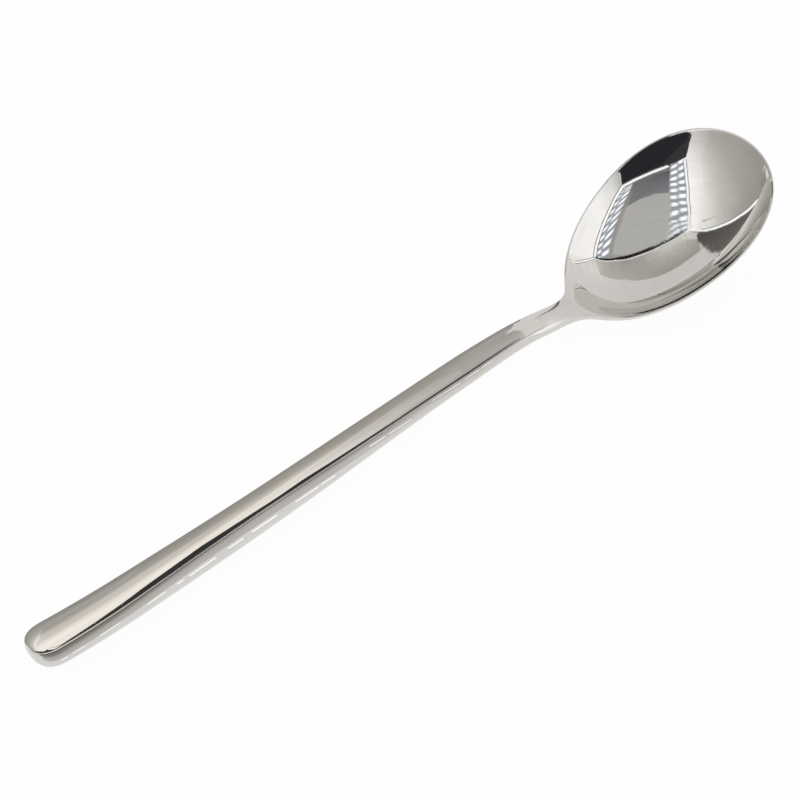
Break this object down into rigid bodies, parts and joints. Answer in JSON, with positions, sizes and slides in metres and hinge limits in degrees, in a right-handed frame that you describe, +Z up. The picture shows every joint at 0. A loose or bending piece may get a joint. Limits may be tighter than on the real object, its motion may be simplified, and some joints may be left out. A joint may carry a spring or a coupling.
{
  "type": "dessert spoon",
  "caption": "Polished hollow-handled dessert spoon with a deep egg-shaped bowl, a slim neck and a rounded rod handle.",
  "frame": {"origin": "middle of the spoon's length and width, on the table it rests on", "axes": "+X along the spoon from the handle's end to the tip of the bowl, +Y across it, +Z up out of the bowl"},
  "size_m": [0.19, 0.0394, 0.0219],
  "materials": {
    "bowl_steel": "mirror polish with faint polishing marks in the bowl",
    "handle_steel": "mirror polish, drawn along the handle",
    "braze": "as cast, hidden inside the handle"
  },
  "bodies": {
    "root": {"bowl": "bowl_steel", "handle_top": "handle_steel", "handle_belly": "handle_steel", "seam_braze_left": "braze", "seam_braze_right": "braze", "tang_braze": "braze"}
  },
  "joints": []
}
